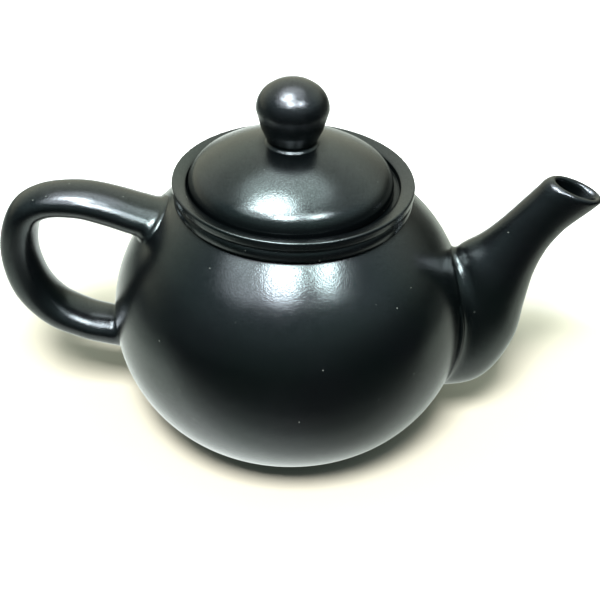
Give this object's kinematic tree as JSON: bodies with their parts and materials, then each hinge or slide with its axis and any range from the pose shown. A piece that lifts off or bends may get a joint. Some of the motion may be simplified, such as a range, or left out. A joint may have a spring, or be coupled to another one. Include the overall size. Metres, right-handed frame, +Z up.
{
  "type": "teapot",
  "caption": "Black glazed stoneware teapot: globe body with a gallery collar, S-curved spout with pierced strainer, side loop handle and lift-off domed lid with a ball knob.",
  "frame": {"origin": "centre of the foot ring, on the surface that the pot stands on", "axes": "+Z up, +X towards the spout, -X towards the handle"},
  "size_m": [0.2138, 0.13, 0.1398],
  "materials": {
    "black_glaze": "satin gunmetal black glaze"
  },
  "bodies": {
    "pot": {"pot_body": "black_glaze", "gallery_ring": "black_glaze", "spout": "black_glaze", "handle": "black_glaze"},
    "lid": {"lid": "black_glaze", "knob": "black_glaze"}
  },
  "joints": [
    {"name": "lid_lift", "type": "slide", "parent": "pot", "child": "lid", "axis": [0, 0, 1], "range_m": [0, 0.08]}
  ]
}
